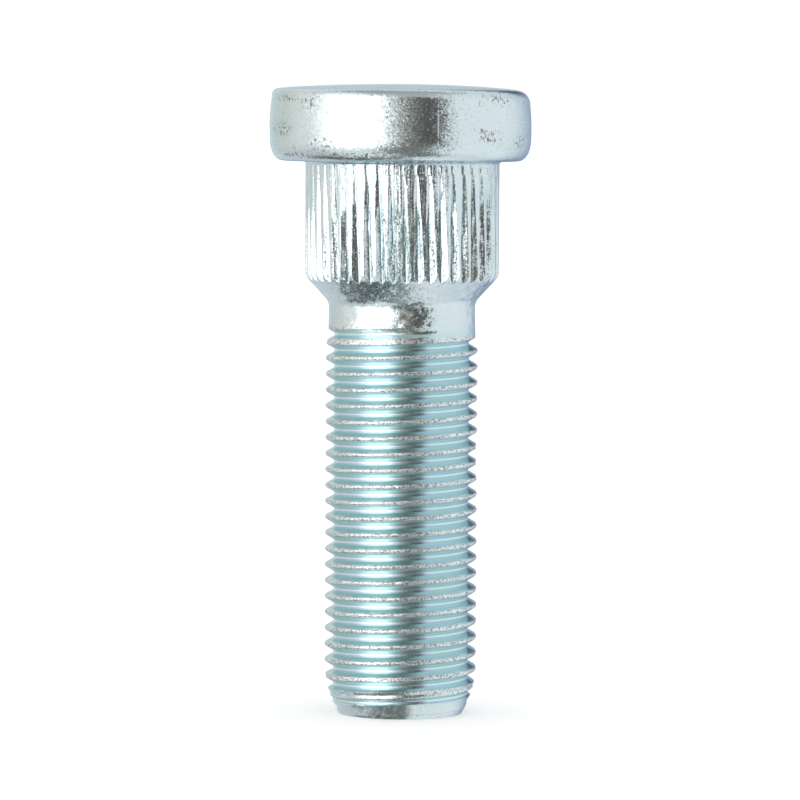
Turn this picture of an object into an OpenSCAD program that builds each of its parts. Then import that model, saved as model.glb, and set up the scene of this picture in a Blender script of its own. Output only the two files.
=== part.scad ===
// Wheel stud: a one-piece cold-headed bolt that is pressed into a hub from behind.
// The round head seats on the back of the hub, the knurl grips its hole,
// and a wheel nut runs on the thread.
// Sizes are in millimetres. The stud stands on the flat end of its thread,
// with its axis on Z and the centre of that flat end at the origin.

/* [Overall] */
// Height from the flat end of the thread to the rim of the head
stud_length = 49; // [44:0.5:60]

/* [Head] */
// Widest diameter of the head
head_diameter = 20.5; // [18.5:0.1:23]
// Height of the head from its seat to its rim
head_height = 5.6; // [4.6:0.1:7.5]
// Height above the seat at which the side of the head is widest
head_widest_height = 2.4; // [1.6:0.1:3.2]
// Radius of the barrel-shaped side of the head, seen in section
head_side_radius = 20; // [10:1:60]
// Rounding of the edge where the side meets the seat
head_lower_edge = 1.2; // [0.5:0.1:1.5]
// Rounding of the edge where the side meets the top
head_upper_edge = 0.8; // [0.3:0.1:1.2]
// How far the middle of the top stands above the rim
head_crown = 0.4; // [0.1:0.05:0.8]
// Fillet between the seat and the knurled shank
seat_fillet = 0.35; // [0.2:0.05:0.6]

/* [Knurl] */
// Diameter over the teeth of the knurl
knurl_diameter = 15.2; // [14:0.1:16.5]
// Length of the knurled shank from the seat to the corner of the cone
knurl_length = 9; // [6:0.5:11]
// Number of teeth round the knurl
knurl_teeth = 48; // [36:2:60]
// Angle between the two sides of a groove
knurl_angle = 90; // [70:5:100]
// Width of the crest that the grooves leave next to the head
crest_width_at_head = 0.62; // [0.3:0.02:0.7]
// Width of the crest that the grooves leave next to the cone
crest_width_at_cone = 0.14; // [0.08:0.02:0.28]
// How far the grooves run on into the fillet under the head
groove_run_on = 0.1; // [0.05:0.05:0.3]
// Angle of the first groove, from the right-hand side of the stud
knurl_turn = 3.3; // [0:0.1:7.4]

/* [Neck] */
// Angle between the cone and the axis
cone_angle = 42.5; // [30:2.5:55]
// Diameter of the smooth neck between the cone and the thread
neck_diameter = 11.46; // [11:0.02:11.7]
// Length of the smooth neck, from the corner of the cone to the first thread groove
neck_length = 2.05; // [1.2:0.05:5]
// Rounding of both corners of the cone
cone_corner_radius = 1; // [0.4:0.1:1.4]

/* [Thread] */
// Diameter over the crests of the thread, a little under its nominal 12 mm
thread_diameter = 11.92; // [11.8:0.02:12.2]
// Distance from one crest to the next
thread_pitch = 1.25; // [1:0.25:1.75]
// Width of the flat crest of the thread
thread_crest_width = 0.25; // [0.12:0.01:0.3]
// Angle at which the crest of the thread leaves the flat end
thread_turn = 51; // [0:1:359]
// Part of a turn over which the last groove runs out into the neck, in degrees
run_out_turn = 130; // [60:10:300]
// Height over which the crests come down to the neck beside the run-out
crest_fade_height = 0.9; // [0.4:0.1:2]

/* [Tip] */
// Diameter of the flat end that the stud stands on
tip_diameter = 9.7; // [8.6:0.1:10.3]
// Height of the rounded point that leads the nut on
tip_length = 4; // [2:0.25:7]

/* [Hidden] */
// Flat sides round one turn of the thread
thread_sides = 40;
// Steps in each small rounding of the turned section
edge_steps = 5;
// Steps across the crown and along the barrel-shaped side
broad_steps = 6;
// Drawing fineness of the turned body in preview
$fn = 96;

// Angle between the two flanks of a metric thread
flank_angle = 60;
// How far the cutters reach beyond the faces that they cut
overshoot = 1;
// How far the threaded part reaches up inside the neck
joint_overlap = 0.5;
// How much slimmer than the neck the threaded part is inside it
joint_step = 0.03;
// Thread rows closer than this to an end of the threaded part merge with that end
row_snap = 0.012;

head_radius = head_diameter / 2;
knurl_radius = knurl_diameter / 2;
neck_radius = neck_diameter / 2;
thread_radius = thread_diameter / 2;
tip_radius = tip_diameter / 2;

seat_height = stud_length - head_height;
knurl_top = seat_height - seat_fillet;
cone_top = seat_height - knurl_length;
cone_foot = cone_top - (knurl_radius - neck_radius) / tan(cone_angle);
neck_foot = cone_foot - neck_length;
corner_run = cone_corner_radius * tan(cone_angle / 2);

// A metric thread takes five eighths of the height of its sharp triangle
thread_depth = thread_pitch * cos(flank_angle / 2) * 5 / 8;
flank_run = thread_depth * tan(flank_angle / 2);
root_radius = thread_radius - thread_depth;

tooth_pitch = PI * knurl_diameter / knurl_teeth;
half_groove_slope = tan(knurl_angle / 2);
groove_depth_at_head = (tooth_pitch - crest_width_at_head) / 2 / half_groove_slope;
groove_depth_at_cone = (tooth_pitch - crest_width_at_cone) / 2 / half_groove_slope;
groove_tilt = atan((groove_depth_at_cone - groove_depth_at_head) / (knurl_top - cone_top));

// Points on an arc in the turned section, from one angle to another
function arc(centre, radius, start, stop, steps) = [
    for (s = [0:steps])
        let (a = start + (stop - start) * s / steps)
        centre + radius * [cos(a), sin(a)]
];

// Radius of the barrel-shaped side of the head at a height above the seat
function side_radius(h) =
    head_radius - head_side_radius
    + sqrt(pow(head_side_radius, 2) - pow(h - head_widest_height, 2));

// Section of the side of the head, between its two rounded edges
function head_side() = [
    for (s = [0:broad_steps])
        let (
            low = head_lower_edge,
            high = head_height - head_upper_edge,
            h = low + (high - low) * s / broad_steps
        )
        [side_radius(h), seat_height + h]
];

// Section of the crowned top, from its rim to the axis
function head_crown_section(rim_radius) =
    let (
        ball = (pow(rim_radius, 2) + pow(head_crown, 2)) / 2 / head_crown,
        centre = stud_length + head_crown - ball
    )
    [
        for (s = [1:broad_steps])
            let (r = rim_radius * (1 - s / broad_steps))
            [r, centre + sqrt(pow(ball, 2) - pow(r, 2))]
    ];

// Half section of everything above the thread, from the neck to the crown
function upper_section() =
    let (
        foot_edge_radius = side_radius(head_lower_edge) - head_lower_edge,
        rim_radius = side_radius(head_height - head_upper_edge) - head_upper_edge
    )
    concat(
        [[0, neck_foot]],
        [[neck_radius, neck_foot]],
        arc([neck_radius + cone_corner_radius, cone_foot - corner_run],
            cone_corner_radius, 180, 180 - cone_angle, edge_steps),
        arc([knurl_radius - cone_corner_radius, cone_top + corner_run],
            cone_corner_radius, -cone_angle, 0, edge_steps),
        arc([knurl_radius + seat_fillet, knurl_top],
            seat_fillet, 180, 90, edge_steps),
        arc([foot_edge_radius, seat_height + head_lower_edge],
            head_lower_edge, -90, -90 / edge_steps, edge_steps - 1),
        head_side(),
        arc([rim_radius, stud_length - head_upper_edge],
            head_upper_edge, 90 / edge_steps, 90, edge_steps - 1),
        head_crown_section(rim_radius)
    );

// Outer limit of the threaded part: rounded point, full crest, then down to the neck
function thread_limit(h) =
    let (
        drop = thread_radius - tip_radius,
        point = (pow(tip_length, 2) + pow(drop, 2)) / 2 / drop,
        fade_start = neck_foot - thread_pitch / 2 - crest_fade_height,
        fade = min(1, max(0, (h - fade_start) / crest_fade_height)),
        neck_side = neck_radius - joint_step
    )
    h < tip_length
        ? thread_radius - point + sqrt(pow(point, 2) - pow(tip_length - h, 2))
        : thread_radius + (neck_side - thread_radius) * fade;

// Heights of the four rows of one turn, from the middle of its crest:
// lower and upper edge of the crest, then lower and upper edge of the root
function row_offset(i) =
    let (half_crest = thread_crest_width / 2)
    [-half_crest, half_crest, half_crest + flank_run,
     thread_pitch - half_crest - flank_run][i % 4];

// Height of a row at an angle; the rows climb as a right-hand helix
function row_height(i, angle) =
    thread_pitch * (floor(i / 4) - 1 + (angle - thread_turn) / 360) + row_offset(i);

// How much of its full depth the groove has, as it climbs into the run-out
function groove_share(i, angle) =
    let (
        groove_middle = row_height(i, angle) - row_offset(i) + thread_pitch / 2,
        run_out_height = thread_pitch * run_out_turn / 360
    )
    min(1, max(0, (neck_foot - groove_middle) / run_out_height));

// Radius of a row at an angle
function row_radius(i, angle) =
    let (
        h = min(thread_end, max(0, row_height(i, angle))),
        limit = thread_limit(h),
        root = min(limit, root_radius)
    )
    i % 4 < 2 ? limit : limit + (root - limit) * groove_share(i, angle);

thread_end = neck_foot + joint_overlap;
thread_rows = 4 * (ceil(thread_end / thread_pitch + thread_turn / 360) + 3);

// First and last row of the threaded part at an angle; the rows beyond them merge with them
function lowest_row(angle) =
    max([for (i = [0:thread_rows - 1]) row_height(i, angle) < row_snap ? i : 0]);
function highest_row(angle) =
    min([for (i = [0:thread_rows - 1])
        row_height(i, angle) > thread_end - row_snap ? i : thread_rows - 1]);

// The round head, the knurled shank, the cone and the neck, before the knurl is cut
module upper_blank() {
    rotate_extrude()
        polygon(upper_section());
}

// One cutter with two straight sides; it lies deeper towards the cone
module knurl_cutter() {
    cut_length = (knurl_top - cone_foot) / cos(groove_tilt);
    reach = groove_depth_at_cone + overshoot;
    translate([knurl_radius - groove_depth_at_head, 0, knurl_top])
        rotate([0, groove_tilt, 0])
            translate([0, 0, -cut_length])
                linear_extrude(cut_length + groove_run_on)
                    polygon([
                        [0, 0],
                        [reach, -reach * half_groove_slope],
                        [reach, reach * half_groove_slope]
                    ]);
}

// The cutters of all the grooves of the knurl
module knurl_cutters() {
    for (k = [0:knurl_teeth - 1])
        rotate([0, 0, knurl_turn + k * 360 / knurl_teeth])
            knurl_cutter();
}

// The threaded part as one skin: rows that climb round it, closed by a flat end and a top
module threaded_part() {
    angles = [for (j = [0:thread_sides - 1]) 360 * j / thread_sides];
    lows = [for (a = angles) lowest_row(a)];
    highs = [for (a = angles) highest_row(a)];
    points = concat(
        [for (a = angles)
            for (i = [0:thread_rows - 1])
                let (
                    r = row_radius(i, a),
                    h = min(thread_end, max(0, row_height(i, a)))
                )
                [r * cos(a), r * sin(a), h]],
        [[0, 0, 0]],
        [[0, 0, thread_end]]
    );
    foot_centre = len(points) - 2;
    top_centre = len(points) - 1;

    // After a full turn each row meets the row that lies four above it
    function corner(j, i) =
        j == thread_sides
            ? corner(0, i + 4)
            : j * thread_rows + min(highs[j], max(lows[j], i));
    function side(a, b, c) = a == b || b == c || a == c ? [] : [[a, b, c]];

    skin = [for (j = [0:thread_sides - 1])
        for (i = [0:thread_rows - 2])
            each concat(
                side(corner(j, i), corner(j, i + 1), corner(j + 1, i)),
                side(corner(j + 1, i), corner(j, i + 1), corner(j + 1, i + 1))
            )];
    foot = [for (j = [0:thread_sides - 1]) [foot_centre, corner(j, 0), corner(j + 1, 0)]];
    top = [for (j = [0:thread_sides - 1])
        [top_centre, corner(j + 1, thread_rows), corner(j, thread_rows)]];
    polyhedron(points = points, faces = concat(skin, foot, top), convexity = 10);
}

// The whole stud in one piece
module stud() {
    color("LightSteelBlue")
        union() {
            difference() {
                upper_blank();
                knurl_cutters();
            }
            threaded_part();
        }
}

stud();
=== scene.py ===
"""Looks of the wheel stud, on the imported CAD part.

The stud is one piece of zinc-plated steel with a blue passivated film. Its skin is built
here row by row, from the same sizes as the part's source: the rounded end, the fine
right-hand thread with its rough rolled crests, the neck, the cone, the knurl, the seat
and the crowned head. Sizes are in millimetres and become metres when the mesh is made.
"""

import math

import bpy
import numpy as np
from mathutils import Matrix, Vector


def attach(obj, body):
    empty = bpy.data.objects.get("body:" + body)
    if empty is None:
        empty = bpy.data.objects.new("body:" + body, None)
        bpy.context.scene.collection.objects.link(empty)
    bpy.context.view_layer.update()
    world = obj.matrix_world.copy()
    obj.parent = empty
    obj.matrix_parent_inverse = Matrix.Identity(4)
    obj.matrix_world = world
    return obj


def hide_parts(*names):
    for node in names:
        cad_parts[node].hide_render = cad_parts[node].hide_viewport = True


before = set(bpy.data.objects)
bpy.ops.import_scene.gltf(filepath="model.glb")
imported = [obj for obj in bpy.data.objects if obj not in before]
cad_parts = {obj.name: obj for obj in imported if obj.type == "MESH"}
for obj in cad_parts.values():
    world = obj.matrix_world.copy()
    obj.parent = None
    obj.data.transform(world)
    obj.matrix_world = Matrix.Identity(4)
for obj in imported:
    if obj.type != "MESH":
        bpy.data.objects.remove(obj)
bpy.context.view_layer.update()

MM = 0.001
SEED = 7

# Thread, in millimetres and degrees
PITCH = 1.25
THREAD_RADIUS = 5.96
THREAD_TURN = 51
HALF_CREST = 0.125
FLANK_SLOPE = math.tan(math.radians(30))
ROOT_ARC = 0.176
ROOT_CENTRE = 5.446
ROOT_ARC_STEPS = (-60, -36, -12, 12, 36, 60)
TIP_RADIUS = 4.85
TIP_LENGTH = 4.0
THREAD_LOW = 0.1
THREAD_HIGH = 31.3
ROW_SNAP = 0.012
GROOVE_END = 30.31
RUN_OUT = 130
# Outer limit of the last turns: height and radius
LAST_TURNS = ((28.6, 5.96), (29.2, 5.86), (29.8, 5.78), (30.4, 5.76), (31.3, 5.73))
ROWS = 15

# Neck, cone and knurl
NECK_RADIUS = 5.73
CONE_SLOPE = math.radians(42.5)
CORNER = 1.0
CONE_FOOT = 32.36
CONE_TOP = 34.4
KNURL_RADIUS = 7.6
KNURL_TOP = 43.2
TEETH = 48
FIRST_CREST = 6.2
# How far the grooves lean to the left towards the head, in degrees
GROOVE_LEAN = 1.9
HALF_LAND_AT_HEAD = 0.31
HALF_LAND_AT_CONE = 0.07
JOG_HEIGHT = 42.42
# Heights over which the columns gather into teeth on the cone, the grooves run out
# below the collar, and the columns spread evenly again
TEETH_START = (32.7, 33.8)
GROOVES_STOP = (43.13, 43.22)
TEETH_STOP = (43.2, 43.3)
# Depth for each millimetre across a groove, and how much flatter its two sides get
# towards the head: the side after a land, and the side before the next one
GROOVE_SLOPE = 0.92
FLATTER_AFTER = 0.34
FLATTER_BEFORE = 0.1
# Share of a half groove where its rounded floor begins, and the slope there
FLOOR_START = 0.86
FLOOR_SLOPE = 0.75
# The collar and fillet under the head: radius and height
COLLAR = (
    (7.62, 43.24), (7.66, 43.28), (7.72, 43.33), (7.79, 43.365), (7.89, 43.39), (8.0, 43.4),
)

# Head
SEAT = 43.4
RIM = 49.0
HEAD_RADIUS = 10.25
HEAD_WIDEST = 45.8
HEAD_BARREL = 20.0
# Rounding under the head: how far in from its side, and how far above the seat
LOWER_EDGE = (
    (0.95, 0.0), (0.72, 0.03), (0.55, 0.1), (0.43, 0.2), (0.32, 0.32), (0.21, 0.5),
    (0.12, 0.72), (0.055, 1.0), (0.015, 1.3), (0.0, 1.6),
)
# Rounding above the side, and how much larger and lower the rim is on the right
UPPER_EDGE = 0.8
UPPER_EDGE_SWAY = 0.3
RIM_DROP = 0.05
HEAD_SHIFT = -0.17
CROWN = 0.4

# Columns round the stud: the knurl has three for each one of the rest
COLUMNS = 160
TOOTH_COLUMNS = 10
KNURL_COLUMNS = TEETH * TOOTH_COLUMNS

# Width and height of the unwrapped skin, in millimetres
MAP_WIDTH = 64.0
DISC_STRIP = 21.0


class Skin:
    """Points and faces of one closed mesh, with what the material reads at each point."""

    def __init__(self):
        self.points = []
        self.wide = []
        self.long = []
        self.marks = {"crest": [], "root": []}
        self.faces = []
        self.charts = []

    def add(self, x, y, z, wide, long, crest=0.0, root=0.0):
        """Adds points and returns their numbers."""
        x, y, z, wide, long = np.broadcast_arrays(x, y, z, wide, long)
        first = sum(len(p) for p in self.points)
        self.points.append(np.column_stack([x.ravel(), y.ravel(), z.ravel()]))
        self.wide.append(wide.ravel())
        self.long.append(long.ravel())
        for name, value in (("crest", crest), ("root", root)):
            self.marks[name].append(np.broadcast_to(value, x.shape).ravel())
        return first + np.arange(x.size).reshape(x.shape)

    def face(self, corners, chart=0):
        self.faces.append([int(c) for c in corners])
        self.charts.append(chart)

    def bridge(self, low, high, chart=0):
        """Faces between two rings; one ring may have three points for each of the other."""
        a, b = len(low), len(high)
        n = min(a, b)
        for j in range(n):
            k = (j + 1) % n
            if a == b:
                self.face([low[j], low[k], high[k], high[j]], chart)
            elif a < b:
                top = [high[(3 * j + s) % b] for s in (3, 2, 1, 0)]
                self.face([low[j], low[k], *top], chart)
            else:
                foot = [low[(3 * j + s) % a] for s in (0, 1, 2, 3)]
                self.face([*foot, high[k], high[j]], chart)


def smooth(value, low, high):
    """0 below low, 1 above high, and a smooth rise between."""
    t = np.clip((value - low) / (high - low), 0, 1)
    return t * t * (3 - 2 * t)


def slow_noise(rng, length, step):
    """Noise along a line with a value about every step points, from -1 to 1."""
    knots = rng.uniform(-1, 1, length // step + 3)
    return np.interp(np.arange(length) / step, np.arange(len(knots)), knots)


def thread_limit(z):
    """Outer limit of the thread: rounded point, full crest, then down to the neck."""
    drop = THREAD_RADIUS - TIP_RADIUS
    point = (TIP_LENGTH**2 + drop**2) / 2 / drop
    below = np.clip(TIP_LENGTH - z, 0, TIP_LENGTH)
    tip = THREAD_RADIUS - point + np.sqrt(point**2 - below**2)
    heights, radii = zip(*LAST_TURNS)
    return np.minimum(tip, np.interp(z, heights, radii))


def crest_edge(middle, side):
    """Half width of a crest: wider where the outer limit cuts deeper into the thread."""
    edge = np.full(middle.shape, HALF_CREST)
    for _ in range(4):
        missing = THREAD_RADIUS - thread_limit(middle + side * edge)
        edge = np.minimum(HALF_CREST + missing * FLANK_SLOPE, 0.44)
    return edge


def thread_profile(middle):
    """Heights from the middle of the crest, depths and the share of crest and root, by row."""
    low, high = crest_edge(middle, -1), crest_edge(middle, 1)
    next_low = crest_edge(middle + PITCH, -1)
    arc = [math.radians(a) for a in ROOT_ARC_STEPS]
    arc_start = PITCH / 2 + ROOT_ARC * math.sin(arc[0])
    heights = [-low - 0.05, -low + 0.01, 0.08 - low, (high - low) / 2]
    heights += [high - 0.08, high - 0.01, high + 0.05]
    heights += [(high + 0.05 + arc_start) / 2]
    heights += [PITCH / 2 + ROOT_ARC * math.sin(a) + 0 * low for a in arc]
    heights += [PITCH - (next_low + 0.05 + arc_start) / 2]
    flank = [THREAD_RADIUS - (abs(h) - HALF_CREST) / FLANK_SLOPE for h in heights]
    far_flank = THREAD_RADIUS - (PITCH - heights[14] - HALF_CREST) / FLANK_SLOPE
    # The outer limit cuts the top of a crest
    top, shoulder = 99 + 0 * low, THREAD_RADIUS - 0.035 + 0 * low
    radii = [flank[0], shoulder, top, top, top, shoulder, flank[6], flank[7]]
    radii += [ROOT_CENTRE - ROOT_ARC * math.cos(a) + 0 * low for a in arc]
    radii += [far_flank]
    return np.stack(heights), np.stack(radii)


def thread_skin(skin, rng):
    """The threaded part: rows that climb as a right-hand helix. Returns its two end rings."""
    turns = math.ceil(THREAD_HIGH / PITCH) + 4
    angle = 360 * np.arange(COLUMNS) / COLUMNS
    turn = np.arange(turns)[:, None]
    middle = PITCH * (turn - 1 + (angle[None, :] - THREAD_TURN) / 360)
    heights, radii = thread_profile(middle)

    # Rough rolled crests: their edges wander and their tops have small flats
    along = turns * COLUMNS
    for row, sway in ((0, 0.010), (1, 0.018), (2, 0.022), (4, 0.022), (5, 0.018), (6, 0.010)):
        wander = slow_noise(rng, along, 2) + 0.6 * rng.uniform(-1, 1, along)
        heights[row] += sway * wander.reshape(turns, COLUMNS)
    heights[3] = (heights[2] + heights[4]) / 2
    worn = np.maximum(0, slow_noise(rng, along, 3)).reshape(turns, COLUMNS)

    z = middle[None] + heights
    limit = thread_limit(np.clip(z, 0, THREAD_HIGH))
    # Two crests on the right are dented
    dent = np.exp(-(((angle + 180) % 360 - 182) / 14) ** 2)[None, None, :]
    dent = dent * smooth(z, 18.3, 18.9) * (1 - smooth(z, 21.1, 21.7))
    limit = limit - 0.1 * dent
    for row in (1, 2, 4, 5):
        limit[row] -= 0.022 * worn
    # The wide crest at the point has a seam along its middle
    wide_crest = np.clip((heights[4] - heights[2]) / 2 - 0.06, 0, 0.16)
    limit[3] -= 0.7 * wide_crest * (1 - smooth(z[3], 3.0, 4.0))

    # The groove above a crest for its upper rows, the one below for its lower rows
    groove_middle = middle[None] + np.where(np.arange(ROWS) < 4, -0.5, 0.5)[:, None, None] * PITCH
    share = np.clip((GROOVE_END - groove_middle) / (PITCH * RUN_OUT / 360), 0, 1)
    radius = limit + (np.minimum(limit, radii) - limit) * share

    crest = np.zeros(z.shape)
    crest[1:6] = 1
    crest[0] = crest[6] = 0.05
    crest *= share * smooth(z, 1.1, 2.6)
    root = np.zeros(z.shape)
    root[9:13] = 1
    root[8] = root[13] = 0.5
    root *= share * smooth(z, 1.0, 1.6)

    # From rows of one turn to rows of the whole column
    def columns(values):
        return values.transpose(2, 1, 0).reshape(COLUMNS, turns * ROWS)

    z_true, radius, crest, root = (columns(v) for v in (z, radius, crest, root))
    z_flat = np.clip(z_true, THREAD_LOW, THREAD_HIGH)
    theta = np.radians(angle)[:, None]
    wide = np.broadcast_to(angle[:, None] / 360, z_flat.shape)
    count = turns * ROWS
    low = np.array([np.flatnonzero(c < THREAD_LOW + ROW_SNAP).max() for c in z_true])
    high = np.array([np.flatnonzero(c > THREAD_HIGH - ROW_SNAP).min() for c in z_true])
    for j in range(COLUMNS):
        z_flat[j, low[j]], z_flat[j, high[j]] = THREAD_LOW, THREAD_HIGH
    radius = np.where(z_flat <= THREAD_LOW, thread_limit(THREAD_LOW), radius)
    radius = np.where(z_flat >= THREAD_HIGH, NECK_RADIUS, radius)

    # Only the rows that are used become points
    row_number = np.arange(count)[None, :]
    used = (row_number >= low[:, None]) & (row_number <= high[:, None])
    number = np.full(z_flat.shape, -1)
    number[used] = skin.add(
        (radius * np.cos(theta))[used], (radius * np.sin(theta))[used], z_flat[used],
        wide[used], thread_map(z_flat)[used], crest[used], root[used],
    )

    def corner(j, i):
        if j == COLUMNS:
            j, i = 0, i + ROWS
        return number[j, min(high[j], max(low[j], i))]

    for j in range(COLUMNS):
        for i in range(count - 1):
            a, b, c, d = corner(j, i), corner(j + 1, i), corner(j + 1, i + 1), corner(j, i + 1)
            if a != b and b != d and a != d:
                skin.face([a, b, d])
            if b != c and c != d and b != d:
                skin.face([b, c, d])
    ring = np.arange(COLUMNS)
    return number[ring, low], number[ring, high]


def thread_map(z):
    """Place of a height on the unwrapped skin, in millimetres."""
    return 2 + 1.5 * z


def slim_ring(skin, radius, z, long, shift=0.0, **marks):
    """A ring with a point for each column."""
    angle = 2 * math.pi * np.arange(COLUMNS) / COLUMNS
    wide = np.arange(COLUMNS) / COLUMNS
    return skin.add(
        shift + radius * np.cos(angle), radius * np.sin(angle), z, wide, long, **marks
    )


def flat_end(skin, ring):
    """The flat end that the stud stands on, with its small rounded edge."""
    edge = thread_limit(np.array(THREAD_LOW))
    for z, inset, long in ((0.045, 0.03, 1.6), (0.012, 0.075, 1.2), (0.0, 0.16, 0.8)):
        low = slim_ring(skin, edge - inset, z, long)
        skin.bridge(low, ring)
        ring = low
    for radius in (4.0, 3.0, 2.0, 1.0):
        low = slim_ring(skin, radius, 0.0, 0)
        skin.bridge(low, ring, chart=2)
        ring = low
    skin.face(ring[::-1], chart=2)


def shank_radius(z):
    """Radius of the neck, the cone and the knurled shank before the knurl is cut."""
    run = CORNER * math.tan(CONE_SLOPE / 2)
    foot, top = CONE_FOOT - run, CONE_TOP + run
    if z <= foot:
        return NECK_RADIUS
    if z <= foot + CORNER * math.sin(CONE_SLOPE):
        return NECK_RADIUS + CORNER - math.sqrt(CORNER**2 - (z - foot) ** 2)
    if z >= top:
        return KNURL_RADIUS
    if z >= top - CORNER * math.sin(CONE_SLOPE):
        return KNURL_RADIUS - CORNER + math.sqrt(CORNER**2 - (top - z) ** 2)
    return NECK_RADIUS + (z - CONE_FOOT) * math.tan(CONE_SLOPE)


def knurl_ring(skin, z, teeth, long):
    """One ring round the knurl or the cone: each tooth has a land, two flanks and a groove."""
    half_pitch = math.pi * KNURL_RADIUS / TEETH
    base = shank_radius(z)
    along = (z - CONE_TOP) / (KNURL_TOP - CONE_TOP)
    land = HALF_LAND_AT_CONE + (HALF_LAND_AT_HEAD - HALF_LAND_AT_CONE) * along
    land = land * teeth["width"] + teeth["sway"](z) + teeth["nick"]() + teeth["pinch"](z)
    land = np.clip(land, 0.03, half_pitch - 0.08)
    cut = np.minimum(land + KNURL_RADIUS - base, half_pitch - 0.02)

    column = np.arange(KNURL_COLUMNS)
    tooth, step = np.divmod(column - 9, TOOTH_COLUMNS)
    # Columns 6 to 9 of a tooth belong to the next land, on its other side
    after = step > 5
    owner = (tooth + after) % TEETH
    place = np.where(after, TOOTH_COLUMNS - step, step)
    share = np.array([0.5, FLOOR_START, 1.0])
    a, b = land[owner], cut[owner]
    groove = half_pitch - b
    offset = np.select(
        [place == 0, place == 1, place == 2, place >= 3],
        [0 * b, 0.75 * b, b, b + share[np.clip(place - 3, 0, 2)] * groove],
    )
    into = np.maximum(0, offset - a)
    width = half_pitch - a
    floor = FLOOR_START * width
    into = np.minimum(into, floor + FLOOR_SLOPE * np.maximum(0, into - floor))
    flat = teeth["flat"](z)[tooth % TEETH]
    flattest = GROOVE_SLOPE - FLATTER_AFTER * flat
    slope = np.where(after, GROOVE_SLOPE - FLATTER_BEFORE * flat, flattest)
    deep = np.minimum(into * slope, width * flattest)
    radius = np.minimum(base, KNURL_RADIUS - deep * (1 - smooth(z, *GROOVES_STOP)))
    side = np.where(after, -1, 1)
    crest = FIRST_CREST + 360 / TEETH * (tooth + after) + teeth["turn"][owner]
    crest = crest + teeth["jog"](z, crest) - GROOVE_LEAN * along
    angle = crest + side * np.degrees(offset / KNURL_RADIUS)
    even = 360 / KNURL_COLUMNS * column
    blend = 1 - smooth(z, *TEETH_START) + smooth(z, *TEETH_STOP)
    angle = angle + (even - angle) * min(1.0, float(blend))
    angle = np.radians(angle)
    return skin.add(
        radius * np.cos(angle), radius * np.sin(angle), z, column / KNURL_COLUMNS, long
    )


def knurl_teeth(rng):
    """How the teeth differ from each other: width, place, and a slow sway along each."""
    phase = rng.uniform(0, 2 * math.pi, TEETH)
    beat = rng.uniform(0.5, 1.3, TEETH)

    def sway(z):
        return 0.022 * np.sin(beat * (z - CONE_TOP) + phase) * smooth(z, 35.5, 37)

    def nick():
        return rng.uniform(-0.012, 0.012, TEETH)

    def pinch(z):
        # The grooves are nearly closed at the small step under the collar
        return 0.07 * math.exp(-(((z - JOG_HEIGHT) / 0.8) ** 2))

    flat_start = rng.uniform(38.0, 39.6, TEETH)

    def flat(z):
        # Towards the head the side of a groove that faces right gets flatter
        return smooth(z, flat_start, flat_start + 2.6)

    def jog(z, angle):
        # Above a small step under the collar the grooves stand a little to the left
        shift = 0.6 + 0.6 * np.cos(np.radians(angle))
        return -shift * float(smooth(z, JOG_HEIGHT - 0.12, JOG_HEIGHT + 0.12))

    width = 1 + rng.uniform(-0.16, 0.16, TEETH)
    turn = rng.uniform(-0.16, 0.16, TEETH)
    return {
        "width": width, "turn": turn, "sway": sway, "nick": nick, "pinch": pinch, "flat": flat,
        "jog": jog,
    }


def shank_skin(skin, ring, rng):
    """From the neck to the seat. Returns the outer ring of the seat's inner part."""
    teeth = knurl_teeth(rng)
    cone = [31.75, 31.97, 32.12, 32.25, 32.38, 32.52, 32.65, 32.9, 33.2, 33.5, 33.7]
    nibs = list(np.arange(33.8, 34.86, 0.055))
    lands = list(np.linspace(34.95, 42.3, 21))
    top = [42.36, 42.42, 42.48, 42.6, 42.85, 43.13, KNURL_TOP]
    before, long = None, thread_map(THREAD_HIGH)
    for z in cone + nibs + lands + top:
        radius = shank_radius(z)
        if before:
            long += math.hypot(z - before[0], radius - before[1])
        else:
            long += z - THREAD_HIGH
        before = (z, radius)
        high = knurl_ring(skin, z, teeth, long)
        skin.bridge(ring, high)
        ring = high
    even = 2 * math.pi * np.arange(KNURL_COLUMNS) / KNURL_COLUMNS
    wide = np.arange(KNURL_COLUMNS) / KNURL_COLUMNS
    for radius, z in COLLAR:
        long += 0.12
        high = skin.add(radius * np.cos(even), radius * np.sin(even), z, wide, long)
        skin.bridge(ring, high)
        ring = high
    return ring, long


def head_side_radius(z):
    """Radius of the barrel-shaped side of the head at a height."""
    return HEAD_RADIUS - HEAD_BARREL + np.sqrt(HEAD_BARREL**2 - (z - HEAD_WIDEST) ** 2)


def head_rows():
    """Section of the head by row: radius and height at each column."""
    angle = 2 * math.pi * np.arange(COLUMNS) / COLUMNS
    right = np.cos(angle)
    upper_edge = UPPER_EDGE + UPPER_EDGE_SWAY * right
    rim = RIM - RIM_DROP * right
    rows = []
    for inset, rise in LOWER_EDGE:
        rows.append((head_side_radius(SEAT + rise) - inset, SEAT + rise + 0 * angle))
    for s in np.linspace(0, 1, 9)[1:-1]:
        low, high = SEAT + LOWER_EDGE[-1][1], rim - upper_edge
        z = low + (high - low) * s
        rows.append((head_side_radius(z), z))
    side = head_side_radius(rim - upper_edge)
    for a in np.radians(np.linspace(0, 82, 9)):
        rows.append((side - upper_edge * (1 - math.cos(a)), rim - upper_edge * (1 - math.sin(a))))
    return rows


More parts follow.
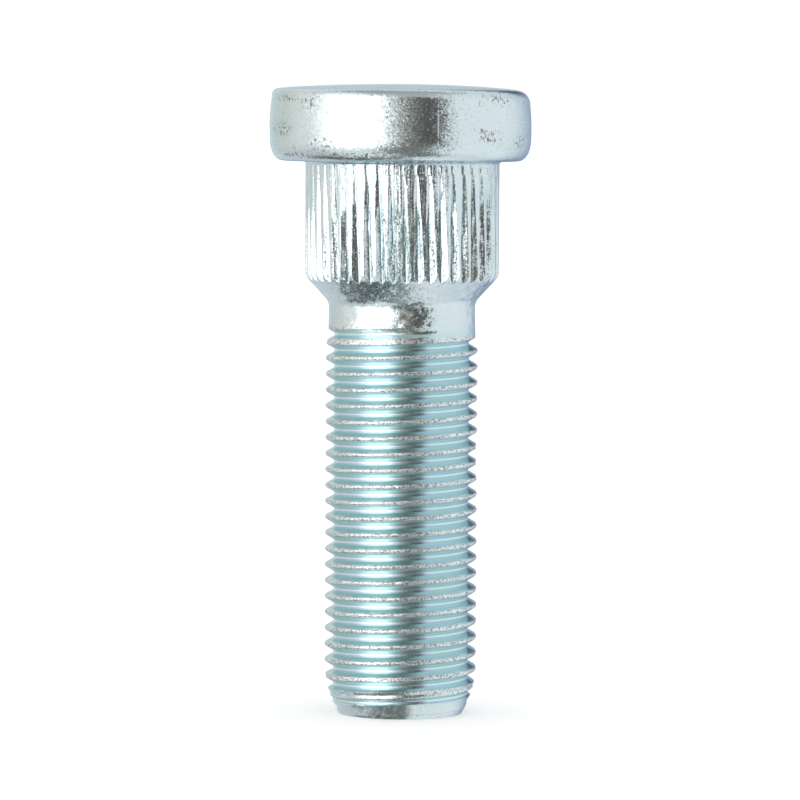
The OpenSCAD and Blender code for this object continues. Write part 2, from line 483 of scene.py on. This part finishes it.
def head_skin(skin, ring, long):
    """The seat, the side and the crowned top of the head."""
    for radius, shift in ((8.35, -0.05), (8.7, -0.1)):
        long += 0.35
        high = slim_ring(skin, radius, SEAT, long, shift)
        skin.bridge(ring, high)
        ring = high
    before = None
    for radius, z in head_rows():
        radius, z = radius + np.zeros(COLUMNS), z + np.zeros(COLUMNS)
        long += 0.3 if before is None else math.hypot(radius[0] - before[0], z[0] - before[1])
        before = (radius[0], z[0])
        high = slim_ring(skin, radius, z, long, HEAD_SHIFT)
        skin.bridge(ring, high)
        ring = high
        last = (radius, z)
    # The crown rises from the rim to the middle
    for s in (0.96, 0.9, 0.8, 0.65, 0.5, 0.35, 0.2, 0.08):
        radius = last[0] * s
        z = last[1] + (RIM + CROWN - last[1]) * (1 - s**2) ** 0.8
        high = slim_ring(skin, radius, z, 0, HEAD_SHIFT)
        skin.bridge(ring, high, chart=1)
        ring = high
    skin.face(ring, chart=1)
    return long


def unwrap(skin, mesh, height):
    """A cylindrical map for the round surfaces and a flat one for each end."""
    points = np.concatenate(skin.points)
    wide, long = np.concatenate(skin.wide), np.concatenate(skin.long)
    loops = np.zeros(len(mesh.loops), int)
    mesh.loops.foreach_get("vertex_index", loops)
    starts = np.zeros(len(mesh.polygons), int)
    totals = np.zeros(len(mesh.polygons), int)
    mesh.polygons.foreach_get("loop_start", starts)
    mesh.polygons.foreach_get("loop_total", totals)
    face = np.repeat(np.arange(len(starts)), totals)
    chart = np.array(skin.charts)[face]
    u, v = wide[loops], (long[loops] + DISC_STRIP) / height
    # A face across the seam has its far corners one turn further on
    furthest = np.maximum.reduceat(u, starts)[face]
    u = np.where((furthest - u > 0.5) & (chart == 0), u + 1, u)
    x, y = points[loops, 0], points[loops, 1]
    for number, middle in ((1, 10.5), (2, 32.0)):
        own = chart == number
        u = np.where(own, (middle + x) / MAP_WIDTH, u)
        v = np.where(own, (10.5 + y) / height, v)
    layer = mesh.uv_layers.new(name="OFBake")
    layer.data.foreach_set("uv", np.column_stack([u, v]).ravel().astype(np.float32))


def make_stud():
    """The whole stud as one closed mesh."""
    rng = np.random.default_rng(SEED)
    skin = Skin()
    low, high = thread_skin(skin, rng)
    flat_end(skin, low)
    ring, long = shank_skin(skin, high, rng)
    long = head_skin(skin, ring, long)

    mesh = bpy.data.meshes.new("wheel_stud")
    points = np.concatenate(skin.points) * MM
    mesh.from_pydata(points.tolist(), [], skin.faces)
    for name, parts in skin.marks.items():
        values = np.concatenate(parts).astype(np.float32)
        mesh.attributes.new(name, "FLOAT", "POINT").data.foreach_set("value", values)
    unwrap(skin, mesh, long + DISC_STRIP + 1)
    mesh.polygons.foreach_set("use_smooth", np.ones(len(mesh.polygons), bool))
    mesh.set_sharp_from_angle(angle=math.radians(40))
    mesh.validate()
    stud = bpy.data.objects.new("wheel_stud", mesh)
    bpy.context.scene.collection.objects.link(stud)
    return stud


class Tree:
    """Short calls for building a node tree."""

    def __init__(self, owner):
        owner.use_nodes = True
        self.nodes, self.links = owner.node_tree.nodes, owner.node_tree.links
        self.nodes.clear()

    def add(self, kind, inputs=None, **settings):
        node = self.nodes.new(kind)
        for name, value in settings.items():
            setattr(node, name, value)
        for name, value in (inputs or {}).items():
            if isinstance(value, bpy.types.NodeSocket):
                self.links.new(value, node.inputs[name])
            else:
                node.inputs[name].default_value = value
        return node

    def math(self, operation, a, b=0.0, c=0.0):
        return self.add("ShaderNodeMath", {0: a, 1: b, 2: c}, operation=operation).outputs[0]

    def vector(self, operation, a, b=(0.0, 0.0, 0.0)):
        return self.add("ShaderNodeVectorMath", {0: a, 1: b}, operation=operation).outputs[0]

    def scaled(self, vector, factor):
        inputs = {0: vector, "Scale": factor}
        return self.add("ShaderNodeVectorMath", inputs, operation="SCALE").outputs[0]

    def span(self, value, low, high, to_low=0.0, to_high=1.0):
        """Smooth step of a value between two limits."""
        inputs = {
            "Value": value, "From Min": low, "From Max": high,
            "To Min": to_low, "To Max": to_high,
        }
        node = self.add("ShaderNodeMapRange", inputs, interpolation_type="SMOOTHSTEP")
        return node.outputs["Result"]

    def zone(self, height, start, full, fade, stop):
        """1 between two heights, with a soft start and a soft end."""
        rise, fall = self.span(height, start, full), self.span(height, stop, fade)
        return self.math("MULTIPLY", rise, fall)

    def mix(self, share, a, b):
        """Mixes two colours."""
        node = self.add("ShaderNodeMix", data_type="RGBA")
        for socket, value in ((0, share), (6, a), (7, b)):
            if isinstance(value, bpy.types.NodeSocket):
                self.links.new(value, node.inputs[socket])
            else:
                node.inputs[socket].default_value = value
        return node.outputs[2]

    def noise(self, place, scale, detail=2.0, rough=0.5):
        inputs = {"Vector": place, "Scale": scale, "Detail": detail, "Roughness": rough}
        return self.add("ShaderNodeTexNoise", inputs).outputs["Fac"]

    def attribute(self, name):
        return self.add("ShaderNodeAttribute", attribute_name=name).outputs["Fac"]


# Marks on the side of the head: azimuth from the front in degrees, height, half length,
# half width, and the turn of the length from level in degrees
DARK_MARKS = (
    (-54.1, 44.53, 0.34, 0.06, -60),
    (-55.6, 44.42, 0.22, 0.05, -50),
    (-31.3, 44.01, 0.30, 0.16, 30),
    (-34.0, 44.60, 0.22, 0.10, 70),
    (46.1, 48.36, 0.24, 0.17, 20),
    (35.9, 47.95, 0.32, 0.05, 75),
    (38.6, 48.52, 0.30, 0.05, 40),
    (37.0, 45.85, 0.30, 0.20, -35),
    (40.8, 45.55, 0.16, 0.12, 0),
    (43.6, 45.60, 0.12, 0.14, 0),
    (40.3, 45.02, 0.10, 0.10, 0),
    (24.1, 44.96, 0.20, 0.06, 80),
    (70.0, 47.98, 0.30, 0.07, 75),
)
# Patches where the plate is scuffed: azimuth, height, half width and half height
SCUFFS = (
    (-66, 45.9, 2.4, 0.8),
    (-38, 44.7, 1.9, 1.0),
    (-44, 48.1, 1.5, 0.9),
    (-20, 43.9, 3.2, 0.5),
    (-56, 43.9, 2.6, 0.35),
    (-60, 48.3, 2.4, 0.4),
    (42, 45.4, 1.9, 0.7),
    (48, 48.2, 2.2, 0.6),
    (64, 45.0, 1.5, 0.7),
)
# A light upright crease in the head
CREASE = (15.4, 46.4, 2.4, 0.07, 90)
# Heights in millimetres where each zone starts, is full, fades and stops
THREAD_ZONE = (0.9, 1.5, 29.9, 30.4)
NECK_ZONE = (29.9, 30.3, 33.6, 34.2)
KNURL_ZONE = (34.0, 34.6, 43.15, 43.25)
HEAD_START = (43.45, 43.6)
# The film turns the metal darker and bluer towards its edges
EDGE_TINT = (0.80, 0.88, 0.93, 1)
# The film varies slowly between two colours
SHANK_FILM = ((0.66, 0.78, 0.81, 1), (0.70, 0.80, 0.84, 1))
# On the thread both colours are darker and bluer than on the shank: painted shade of the thread's
# grooves
THREAD_FILM_PAINTED_SHADE = ((0.56, 0.745, 0.775, 1), (0.58, 0.765, 0.81, 1))
# Painted highlight: a paler colour along the root of the thread, where the rounded root reflects a
# bright line
ROOT_PAINTED_HIGHLIGHT = (0.85, 0.93, 0.95, 1)
TORN_CREST = ((0.34, 0.37, 0.36, 1), (0.86, 0.90, 0.90, 1))
DIRT = (0.26, 0.24, 0.21, 1)


def oval(tree, place, azimuth, height, long, wide, turn=0.0):
    """1 in the middle of a small oval on the side of the head, 0 outside it."""
    middle = (math.radians(azimuth) * HEAD_RADIUS, height, 0)
    settings = {
        "Vector": place, "Location": middle, "Rotation": (0, 0, math.radians(turn)),
        "Scale": (long, wide, 1),
    }
    local = tree.add("ShaderNodeMapping", settings, vector_type="TEXTURE").outputs[0]
    reach = tree.add("ShaderNodeVectorMath", {0: local}, operation="LENGTH").outputs["Value"]
    return tree.span(reach, 1.0, 0.35)


def front_angle(tree, axes):
    """Angle round the stud from the front, in radians."""
    back = tree.math("MULTIPLY", axes.outputs["Y"], -1.0)
    return tree.math("ARCTAN2", axes.outputs["X"], back)


def largest(tree, values):
    total = values[0]
    for value in values[1:]:
        total = tree.math("MAXIMUM", total, value)
    return total


def grainy_normal(tree, place, lean, coarse, drag):
    """The normal with a fine and a coarse grain, and lines drawn along the stud."""
    normal = tree.add("ShaderNodeNewGeometry").outputs["Normal"]
    drawn = tree.vector("MULTIPLY", place, (1.0, 1.0, 0.06))
    for where, scale, share in ((place, 7.0, lean), (place, 2.0, coarse), (drawn, 7.0, drag)):
        noise = tree.add("ShaderNodeTexNoise", {"Vector": where, "Scale": scale, "Detail": 2.0})
        off = tree.vector("SUBTRACT", noise.outputs["Color"], (0.5, 0.5, 0.5))
        normal = tree.vector("ADD", normal, tree.scaled(off, share))
    return tree.vector("NORMALIZE", normal)


def head_marks(tree, place, on_head):
    """Dark marks, scuffs and the crease on the side of the head."""
    axes = tree.add("ShaderNodeSeparateXYZ", {0: place})
    across = tree.math("MULTIPLY", front_angle(tree, axes), HEAD_RADIUS)
    unrolled = tree.add(
        "ShaderNodeCombineXYZ", {"X": across, "Y": axes.outputs["Z"], "Z": 0.0}
    ).outputs[0]
    speck = tree.noise(place, 4.2, 2, 0.6)
    torn = tree.noise(place, 3.0, 3, 0.7)
    marks = largest(tree, [oval(tree, unrolled, *mark) for mark in DARK_MARKS])
    marks = tree.math("MULTIPLY", marks, tree.span(torn, 0.34, 0.46))
    scuff = largest(tree, [oval(tree, unrolled, *patch) for patch in SCUFFS])
    specks = tree.math("MULTIPLY", scuff, tree.span(speck, 0.53, 0.60))
    dark = tree.math("MULTIPLY", tree.math("MAXIMUM", marks, specks), on_head)
    crease = tree.math("MULTIPLY", oval(tree, unrolled, *CREASE), tree.span(torn, 0.43, 0.55))
    crease = tree.math("MULTIPLY", crease, on_head)
    return dark, crease


def zinc_material():
    """Zinc plate with a blue film: grainy, rough and grey on the crests, with painted shade on the
    thread and a painted highlight along its root.
    """
    material = bpy.data.materials.new("zinc_blue_passivated")
    tree = Tree(material)
    # Places in millimetres
    place = tree.scaled(tree.add("ShaderNodeTexCoord").outputs["Object"], 1000.0)
    height = tree.add("ShaderNodeSeparateXYZ", {0: place}).outputs["Z"]

    crest, root = tree.attribute("crest"), tree.attribute("root")
    threaded = tree.zone(height, *THREAD_ZONE)
    plain = tree.math("SUBTRACT", 1.0, threaded)
    on_head = tree.span(height, *HEAD_START)
    knurled = tree.zone(height, *KNURL_ZONE)
    cloud = tree.noise(place, 0.35, 3)
    fine = tree.noise(place, 9.0, 2)
    dirt = tree.noise(place, 5.0, 3, 0.6)

    clouded = tree.span(cloud, 0.35, 0.65)
    # The thread's colours are darker and bluer than the shank's: painted shade of its grooves
    blue = tree.mix(plain, tree.mix(clouded, *THREAD_FILM_PAINTED_SHADE), tree.mix(clouded, *SHANK_FILM))
    # The paler colour at the root of the thread is a painted highlight
    blue = tree.mix(tree.math("MULTIPLY", root, 0.3), blue, ROOT_PAINTED_HIGHLIGHT)
    pits = tree.noise(place, 6.5, 2)
    grey = tree.mix(tree.span(pits, 0.37, 0.55), *TORN_CREST)
    colour = tree.mix(crest, blue, grey)

    dark, crease = head_marks(tree, place, on_head)
    # Specks of dirt in the knurl and thinly all over the plain surfaces
    strength = tree.math("MULTIPLY_ADD", on_head, 0.15, 0.17)
    dust = tree.math("MULTIPLY", tree.span(dirt, 0.60, 0.66), strength)
    dark = tree.math("MAXIMUM", dark, tree.math("MULTIPLY", dust, plain))
    colour = tree.mix(tree.math("MULTIPLY", dark, 0.92), colour, DIRT)

    roughness = tree.span(dirt, 0.3, 0.7, 0.17, 0.25)
    roughness = tree.math("MULTIPLY_ADD", crest, 0.12, roughness)
    roughness = tree.math("MULTIPLY_ADD", dark, 0.2, roughness)
    metallic = tree.math("MULTIPLY_ADD", threaded, -0.03, 1.0)

    lean = tree.math("MULTIPLY_ADD", plain, 0.27, 0.05)
    lean = tree.math("MULTIPLY_ADD", knurled, 0.2, lean)
    lean = tree.math("MULTIPLY_ADD", crest, 0.5, lean)
    # Sparse pits sparkle, and the neck is marked more coarsely than the rest
    pitted = tree.math("MULTIPLY", tree.span(tree.noise(place, 3.6, 2), 0.56, 0.66), plain)
    lean = tree.math("MULTIPLY_ADD", pitted, 0.7, lean)
    necked = tree.zone(height, *NECK_ZONE)
    coarse = tree.math("MULTIPLY_ADD", necked, 0.34, tree.math("MULTIPLY", lean, 0.25))
    normal = grainy_normal(tree, place, lean, coarse, tree.math("MULTIPLY", knurled, 0.75))
    # Torn metal on the crests, and the crease in the head
    relief = tree.math("MULTIPLY_ADD", crease, 0.4, tree.math("MULTIPLY", fine, crest))
    bump = tree.add(
        "ShaderNodeBump", {"Height": relief, "Strength": 1.0, "Distance": 0.00003, "Normal": normal}
    )
    shader = tree.add(
        "ShaderNodeBsdfPrincipled",
        {
            "Base Color": colour, "Metallic": metallic, "Roughness": roughness,
            "Specular Tint": EDGE_TINT, "Normal": bump.outputs[0],
        },
    )
    tree.add("ShaderNodeOutputMaterial", {"Surface": shader.outputs[0]})
    return material


def plain_mesh(name, points, faces):
    """A thing of the studio."""
    mesh = bpy.data.meshes.new(name)
    mesh.from_pydata(points, [], faces)
    thing = bpy.data.objects.new(name, mesh)
    bpy.context.scene.collection.objects.link(thing)
    return thing


def make_floor():
    """A plain pale floor that keeps the stud's shadow."""
    side = 6.0
    points = [(-side, -side, 0), (side, -side, 0), (side, side, 0), (-side, side, 0)]
    floor = plain_mesh("floor", points, [(0, 1, 2, 3)])
    material = bpy.data.materials.new("pale_floor")
    tree = Tree(material)
    diffuse = tree.add("ShaderNodeBsdfDiffuse", {"Color": (0.94, 0.94, 0.94, 1)})
    glow = tree.add("ShaderNodeEmission", {"Color": (1, 1, 1, 1), "Strength": 0.18})
    both = tree.add("ShaderNodeAddShader", {0: diffuse.outputs[0], 1: glow.outputs[0]})
    tree.add("ShaderNodeOutputMaterial", {"Surface": both.outputs[0]})
    floor.data.materials.append(material)
    floor.visible_glossy = False


# The light round the stud by azimuth: 0 is where the camera stands, 90 is to its right.
# A big soft light stands to the left, the camera looks in through a dark gap, and the
# rest is pale.
LEVEL_LIGHT = (
    (-90, (0.94, 0.91, 0.87)),
    (-80, (1.07, 1.03, 0.99)),
    (-68, (1.70, 1.62, 1.56)),
    (-54, (2.55, 2.42, 2.35)),
    (-27, (2.70, 2.56, 2.48)),
    (-16, (1.48, 1.44, 1.41)),
    (-10, (0.92, 0.92, 0.91)),
    (-2, (0.58, 0.56, 0.52)),
    (5, (0.35, 0.32, 0.28)),
    (14, (0.18, 0.16, 0.135)),
    (22, (0.09, 0.08, 0.07)),
    (34, (0.08, 0.075, 0.07)),
    (40, (0.46, 0.46, 0.47)),
    (46, (0.95, 0.95, 0.95)),
    (60, (0.98, 0.98, 0.98)),
    (110, (0.97, 0.97, 0.97)),
    (128, (0.86, 0.87, 0.89)),
    (145, (0.66, 0.69, 0.75)),
    (160, (0.46, 0.50, 0.60)),
    (186, (0.46, 0.50, 0.60)),
    (194, (0.95, 0.95, 0.95)),
    (215, (0.77, 0.76, 0.71)),
    (235, (0.78, 0.75, 0.70)),
    (255, (0.85, 0.82, 0.77)),
    (270, (0.94, 0.91, 0.87)),
)
# 1 where the light behind the stud is pale above its level
PALE_BACK = (
    (-90, (0, 0, 0)),
    (170, (0, 0, 0)),
    (175, (1, 1, 1)),
    (190, (1, 1, 1)),
    (195, (0, 0, 0)),
    (270, (0, 0, 0)),
)
# 1 where the light behind the stud is dark a third of the way up
DIM_BACK = (
    (-90, (0, 0, 0)),
    (152, (0, 0, 0)),
    (160, (1, 1, 1)),
    (173, (1, 1, 1)),
    (178, (0, 0, 0)),
    (270, (0, 0, 0)),
)
# The light a third to two thirds of the way down, by azimuth
LOWER_LIGHT = (
    (-90, (0.66, 0.66, 0.65)),
    (-66, (0.80, 0.80, 0.79)),
    (-50, (1.00, 1.00, 0.99)),
    (-25, (0.84, 0.84, 0.82)),
    (-18, (0.46, 0.46, 0.44)),
    (-9, (0.25, 0.25, 0.235)),
    (2, (0.17, 0.17, 0.155)),
    (16, (0.19, 0.19, 0.175)),
    (27, (0.40, 0.40, 0.39)),
    (37, (0.85, 0.85, 0.85)),
    (48, (1.00, 1.00, 1.00)),
    (110, (1.00, 1.00, 1.00)),
    (128, (0.88, 0.89, 0.91)),
    (145, (0.68, 0.71, 0.78)),
    (160, (0.29, 0.35, 0.46)),
    (182, (0.29, 0.35, 0.46)),
    (200, (0.80, 0.80, 0.80)),
    (240, (0.68, 0.68, 0.68)),
    (270, (0.66, 0.66, 0.65)),
)
# The same for what lies steeper down, which the thread sees just above its crests
STEEP_LIGHT = (
    (-90, (0.40, 0.42, 0.42)),
    (-80, (0.66, 0.66, 0.65)),
    (-50, (1.00, 1.00, 0.99)),
    (-16, (0.90, 0.90, 0.89)),
    (-7, (0.55, 0.55, 0.53)),
    (3, (0.28, 0.28, 0.265)),
    (16, (0.15, 0.155, 0.155)),
    (34, (0.17, 0.18, 0.185)),
    (46, (0.42, 0.43, 0.44)),
    (58, (0.74, 0.75, 0.76)),
    (72, (0.90, 0.90, 0.90)),
    (150, (0.80, 0.82, 0.85)),
    (206, (0.72, 0.73, 0.74)),
    (222, (0.55, 0.56, 0.56)),
    (232, (0.32, 0.33, 0.33)),
    (241, (0.08, 0.085, 0.085)),
    (254, (0.05, 0.055, 0.055)),
    (270, (0.40, 0.42, 0.42)),
)
# The same for what lies almost straight down
LOW_LIGHT = (
    (-90, (0.11, 0.12, 0.12)),
    (-50, (0.30, 0.31, 0.30)),
    (-5, (0.25, 0.26, 0.25)),
    (16, (0.25, 0.26, 0.25)),
    (32, (0.82, 0.83, 0.84)),
    (110, (1.00, 1.00, 1.00)),
    (215, (0.90, 0.90, 0.90)),
    (230, (0.32, 0.33, 0.33)),
    (240, (0.04, 0.045, 0.045)),
    (256, (0.03, 0.035, 0.035)),
    (270, (0.11, 0.12, 0.12)),
)
# The same for what lies above
HIGH_LIGHT = (
    (-90, (0.80, 0.80, 0.80)),
    (-60, (1.00, 1.00, 1.00)),
    (-20, (0.80, 0.80, 0.80)),
    (0, (0.50, 0.50, 0.49)),
    (30, (0.50, 0.50, 0.49)),
    (60, (0.90, 0.90, 0.90)),
    (200, (0.90, 0.90, 0.90)),
    (270, (0.80, 0.80, 0.80)),
)
OVERHEAD = (0.45, 0.45, 0.44, 1)
NADIR = (0.36, 0.38, 0.38, 1)
# Colours of the pale and the dark part behind the stud
PALE_WALL = (0.72, 0.75, 0.76, 1)
DIM_WALL = (0.03, 0.07, 0.11, 1)
TENT_RADIUS = 3.0


def ring_light(tree, around, stops):
    """A colour for each direction round the stud."""
    ramp = tree.add("ShaderNodeValToRGB", {"Fac": around})
    elements = ramp.color_ramp.elements
    while len(elements) < len(stops):
        elements.new(0.5)
    # The ramp starts at azimuth -90
    for element, (azimuth, colour) in zip(elements, stops):
        element.position = azimuth / 360 + 0.25
        element.color = (*colour, 1)
    return ramp.outputs["Color"]


def hide_from_camera(thing):
    """Leaves a thing of the studio to be seen by reflections only."""
    thing.visible_camera = False
    thing.visible_diffuse = False
    thing.visible_shadow = False


def make_tent():
    """The light tent all round the stud, which only the metal's reflections see."""
    sides, rings = 64, 32
    points = [(0, 0, -TENT_RADIUS), (0, 0, TENT_RADIUS)]
    for i in range(1, rings):
        e = math.pi * (i / rings - 0.5)
        for k in range(sides):
            a = 2 * math.pi * k / sides
            out = TENT_RADIUS * math.cos(e)
            points.append((out * math.cos(a), out * math.sin(a), TENT_RADIUS * math.sin(e)))
    faces = []
    for k in range(sides):
        n = (k + 1) % sides
        faces.append((0, 2 + n, 2 + k))
        last = 2 + (rings - 2) * sides
        faces.append((1, last + k, last + n))
        for i in range(rings - 2):
            row = 2 + i * sides
            faces.append((row + k, row + n, row + sides + n, row + sides + k))
    tent = plain_mesh("light_tent", points, faces)
    material = bpy.data.materials.new("light_tent")
    tree = Tree(material)
    spot = tree.add("ShaderNodeTexCoord").outputs["Object"]
    gradient = tree.add("ShaderNodeTexGradient", {"Vector": spot}, gradient_type="RADIAL")
    around = gradient.outputs["Fac"]
    height = tree.add("ShaderNodeSeparateXYZ", {0: spot}).outputs["Z"]
    # Sine of the elevation of a direction
    rise = tree.math("DIVIDE", height, TENT_RADIUS)
    level, lower, steep, low, high = (
        ring_light(tree, around, stops)
        for stops in (LEVEL_LIGHT, LOWER_LIGHT, STEEP_LIGHT, LOW_LIGHT, HIGH_LIGHT)
    )
    pale = tree.math("MULTIPLY", ring_light(tree, around, PALE_BACK), tree.span(rise, 0.0, 0.03))
    colour = tree.mix(pale, level, PALE_WALL)
    dim = tree.zone(rise, 0.20, 0.27, 0.50, 0.60)
    dim = tree.math("MULTIPLY", ring_light(tree, around, DIM_BACK), dim)
    colour = tree.mix(dim, colour, DIM_WALL)
    # Where each ring of light starts and is full
    for start, full, light in (
        (-0.17, -0.46, lower), (-0.62, -0.74, steep), (-0.88, -0.94, low),
        (-0.994, -1.0, NADIR), (0.50, 0.64, high), (0.8, 0.94, OVERHEAD),
    ):
        colour = tree.mix(tree.span(rise, start, full), colour, light)
    glow = tree.add("ShaderNodeEmission", {"Color": colour, "Strength": 1.0})
    tree.add("ShaderNodeOutputMaterial", {"Surface": glow.outputs[0]})
    tent.data.materials.append(material)
    hide_from_camera(tent)


# Soft cards that lie on the floor round the foot: name, height, inner and outer radius in
# millimetres, azimuths where each soft end starts and stops, and colour. The first gives
# the shade at the foot, and the second what is pale beside it.
FLOOR_CARDS = (
    ("foot_shade", 0.01, 4.7, 9.5, (-41, -22), (2, 11), (0.19, 0.19, 0.18)),
    ("foot_pale", 0.02, 4.7, 9.5, (2, 15), (46, 62), (0.93, 0.93, 0.90)),
)


def make_card(name, height, inner, outer, left, right, light):
    """A soft-edged sector round the foot, which only the metal's reflections see."""
    margin, sides = 6, 24
    start, stop = left[0] - margin, right[1] + margin
    points, faces = [], []
    for k in range(sides + 1):
        a = math.radians(start + (stop - start) * k / sides)
        for radius in (inner * MM, outer * MM):
            points.append((radius * math.sin(a), -radius * math.cos(a), height * MM))
        if k:
            n = 2 * k
            faces.append((n - 2, n - 1, n + 1, n))
    card = plain_mesh(name, points, faces)
    material = bpy.data.materials.new(name)
    tree = Tree(material)
    spot = tree.add("ShaderNodeTexCoord").outputs["Object"]
    axes = tree.add("ShaderNodeSeparateXYZ", {0: spot})
    place = tree.scaled(spot, 1000.0)
    # Noise moves both ends by up to 0.2 radians, and by half of that on average
    wander, average = 0.2, 0.1
    turned = front_angle(tree, axes)
    turned = tree.math("MULTIPLY_ADD", tree.noise(place, 2.5, 3), wander, turned)
    left_end = tree.span(turned, *(math.radians(a) + average for a in left))
    right_end = tree.span(turned, *(math.radians(a) + average for a in right[::-1]))
    patchy = tree.span(tree.noise(place, 3.0, 4), 0.40, 0.52, 0.6, 1.0)
    cover = tree.math("MULTIPLY", tree.math("MULTIPLY", left_end, right_end), patchy)
    glow = tree.add("ShaderNodeEmission", {"Color": (*light, 1), "Strength": 1.0})
    clear = tree.add("ShaderNodeBsdfTransparent")
    both = tree.add("ShaderNodeMixShader", {0: cover, 1: clear.outputs[0], 2: glow.outputs[0]})
    tree.add("ShaderNodeOutputMaterial", {"Surface": both.outputs[0]})
    card.data.materials.append(material)
    hide_from_camera(card)


def make_world():
    world = bpy.data.worlds.new("studio")
    bpy.context.scene.world = world
    tree = Tree(world)
    glow = tree.add("ShaderNodeBackground", {"Color": (1, 1, 1, 1), "Strength": 1.0})
    tree.add("ShaderNodeOutputWorld", {"Surface": glow.outputs[0]})


# Camera, from the sizes of the stud in the photograph
DISTANCE = 400.0
ELEVATION = 3.5
AIM_HEIGHT = 24.64
LENS = 229.2
ROLL = 0.27
# The camera stands a little to the left, in millimetres
ASIDE = -0.115


def make_camera():
    camera = bpy.data.objects.new("camera", bpy.data.cameras.new("camera"))
    bpy.context.scene.collection.objects.link(camera)
    camera.data.sensor_width = 36
    camera.data.lens = LENS
    camera.data.clip_start = 0.01
    e = math.radians(ELEVATION)
    camera.location = Vector((0, -math.cos(e), math.sin(e))) * DISTANCE * MM
    camera.location.x = ASIDE * MM
    camera.location.z += AIM_HEIGHT * MM
    turn = Matrix.Rotation(math.pi / 2 - e, 4, "X") @ Matrix.Rotation(math.radians(ROLL), 4, "Z")
    camera.rotation_euler = turn.to_euler()
    bpy.context.scene.camera = camera


def corners(box):
    return [list(corner) for corner in box]


stud = make_stud()
stud.data.materials.append(zinc_material())
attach(stud, "root")
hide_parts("stud")
make_floor()
make_tent()
for card in FLOOR_CARDS:
    make_card(*card)
make_world()
make_camera()
bpy.context.scene.view_settings.view_transform = "Standard"
